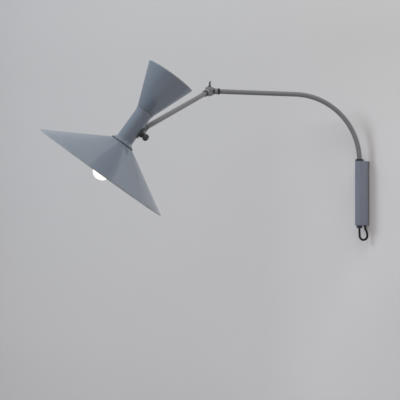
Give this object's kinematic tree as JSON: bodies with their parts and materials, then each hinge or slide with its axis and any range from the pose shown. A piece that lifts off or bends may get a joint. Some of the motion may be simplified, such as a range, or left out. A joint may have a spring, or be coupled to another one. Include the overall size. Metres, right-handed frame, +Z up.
{
  "type": "articulating wall lamp",
  "caption": "Wall lamp on a curved swing arm and a straight second arm with clamp elbow, carrying a tilting head of a wide lower reflector and a narrow upper reflector.",
  "frame": {"origin": "middle of the wall face, on the back of the wall bracket", "axes": "+Z up, -Y out from the wall into the room, +X to the right of someone facing the wall"},
  "size_m": [0.5644, 1.3778, 0.6303],
  "materials": {
    "housing_paint": "satin",
    "arm_paint": "satin",
    "elbow_paint": "satin",
    "head_paint": "satin",
    "black_plastic": "matt",
    "white_plastic": "gloss",
    "steel": "zinc plated",
    "dark_steel": "blackened",
    "bracket_paint": "satin",
    "black_paint": "satin",
    "fibre": "matt",
    "cable_rubber": "matt",
    "bulb_glass": "frosted white",
    "bulb_metal": "bright"
  },
  "bodies": {
    "wall_unit": {"wall_bracket": "bracket_paint", "mount_housing": "housing_paint", "bottom_cap": "housing_paint", "cover_screws": "dark_steel", "top_bush": "black_plastic", "bottom_bush": "black_plastic", "terminal_block": "white_plastic", "entry_gland": "black_plastic", "housing_cable": "cable_rubber", "supply_cable_loop": "cable_rubber"},
    "rear_arm": {"curved_arm_tube": "arm_paint", "retaining_collar": "steel", "collar_set_screw": "dark_steel", "arm_nut": "dark_steel", "cable_grommet": "black_plastic", "rear_arm_cable": "cable_rubber", "rear_swivel_ring": "black_plastic"},
    "rear_knuckle": {"rear_knuckle": "elbow_paint", "elbow_pin": "steel", "elbow_friction_disc": "fibre", "elbow_washer": "dark_steel"},
    "wing_nut": {"wing_nut": "dark_steel"},
    "front_knuckle": {"front_knuckle": "elbow_paint"},
    "front_arm": {"front_swivel_ring": "black_plastic", "straight_arm_tube": "arm_paint", "front_arm_cable": "cable_rubber", "end_ring": "arm_paint", "head_tongue": "arm_paint"},
    "head": {"head_bracket": "black_paint", "bracket_screws": "steel", "central_cylinder": "head_paint", "lower_collar": "head_paint", "upper_collar": "head_paint", "head_pivot_bolt": "steel", "tongue_washer": "black_plastic", "knob_washer": "black_plastic", "lower_end_plate": "steel", "upper_end_plate": "steel", "lower_gasket": "black_plastic", "upper_gasket": "bracket_paint", "lower_reflector": "head_paint", "upper_reflector": "head_paint", "lower_lampholder": "white_plastic", "lower_bulb_cap": "bulb_metal", "lower_bulb": "bulb_glass", "upper_lampholder": "white_plastic", "upper_bulb_cap": "bulb_metal", "upper_bulb": "bulb_glass", "holder_stem": "steel"},
    "head_knob": {"head_knob": "black_plastic"}
  },
  "joints": [
    {"name": "wall_swing", "type": "hinge", "parent": "wall_unit", "child": "rear_arm", "pos_m": [0, -0.047, 0], "axis": [0, 0, 1], "range_deg": [-38.69, 131.31]},
    {"name": "elbow_roll", "type": "hinge", "parent": "rear_arm", "child": "rear_knuckle", "pos_m": [-0.43156, -0.45927, 0.40048], "axis": [-0.7228, -0.6905, 0.029], "range_deg": [-150.05, 189.95]},
    {"name": "wing_nut_turn", "type": "hinge", "parent": "rear_knuckle", "child": "wing_nut", "pos_m": [-0.43156, -0.45927, 0.40048], "axis": [0.2554, -0.2279, 0.9396], "range_deg": [-180, 180]},
    {"name": "elbow_hinge", "type": "hinge", "parent": "rear_knuckle", "child": "front_knuckle", "pos_m": [-0.43156, -0.45927, 0.40048], "axis": [0.2554, -0.2279, 0.9396], "range_deg": [-176.21, 43.79]},
    {"name": "front_arm_twist", "type": "hinge", "parent": "front_knuckle", "child": "front_arm", "pos_m": [-0.43156, -0.45927, 0.40048], "axis": [0.296, -0.9067, -0.3004], "range_deg": [-32.87, 267.13]},
    {"name": "head_tilt", "type": "hinge", "parent": "front_arm", "child": "head", "pos_m": [-0.21953, -1.0678, 0.18753], "axis": [0.7027, 0.4197, -0.5745], "range_deg": [-16.76, 58.24]},
    {"name": "head_knob_turn", "type": "hinge", "parent": "head", "child": "head_knob", "pos_m": [-0.21953, -1.0678, 0.18753], "axis": [0.7027, 0.4197, -0.5745], "range_deg": [-180, 180]}
  ]
}
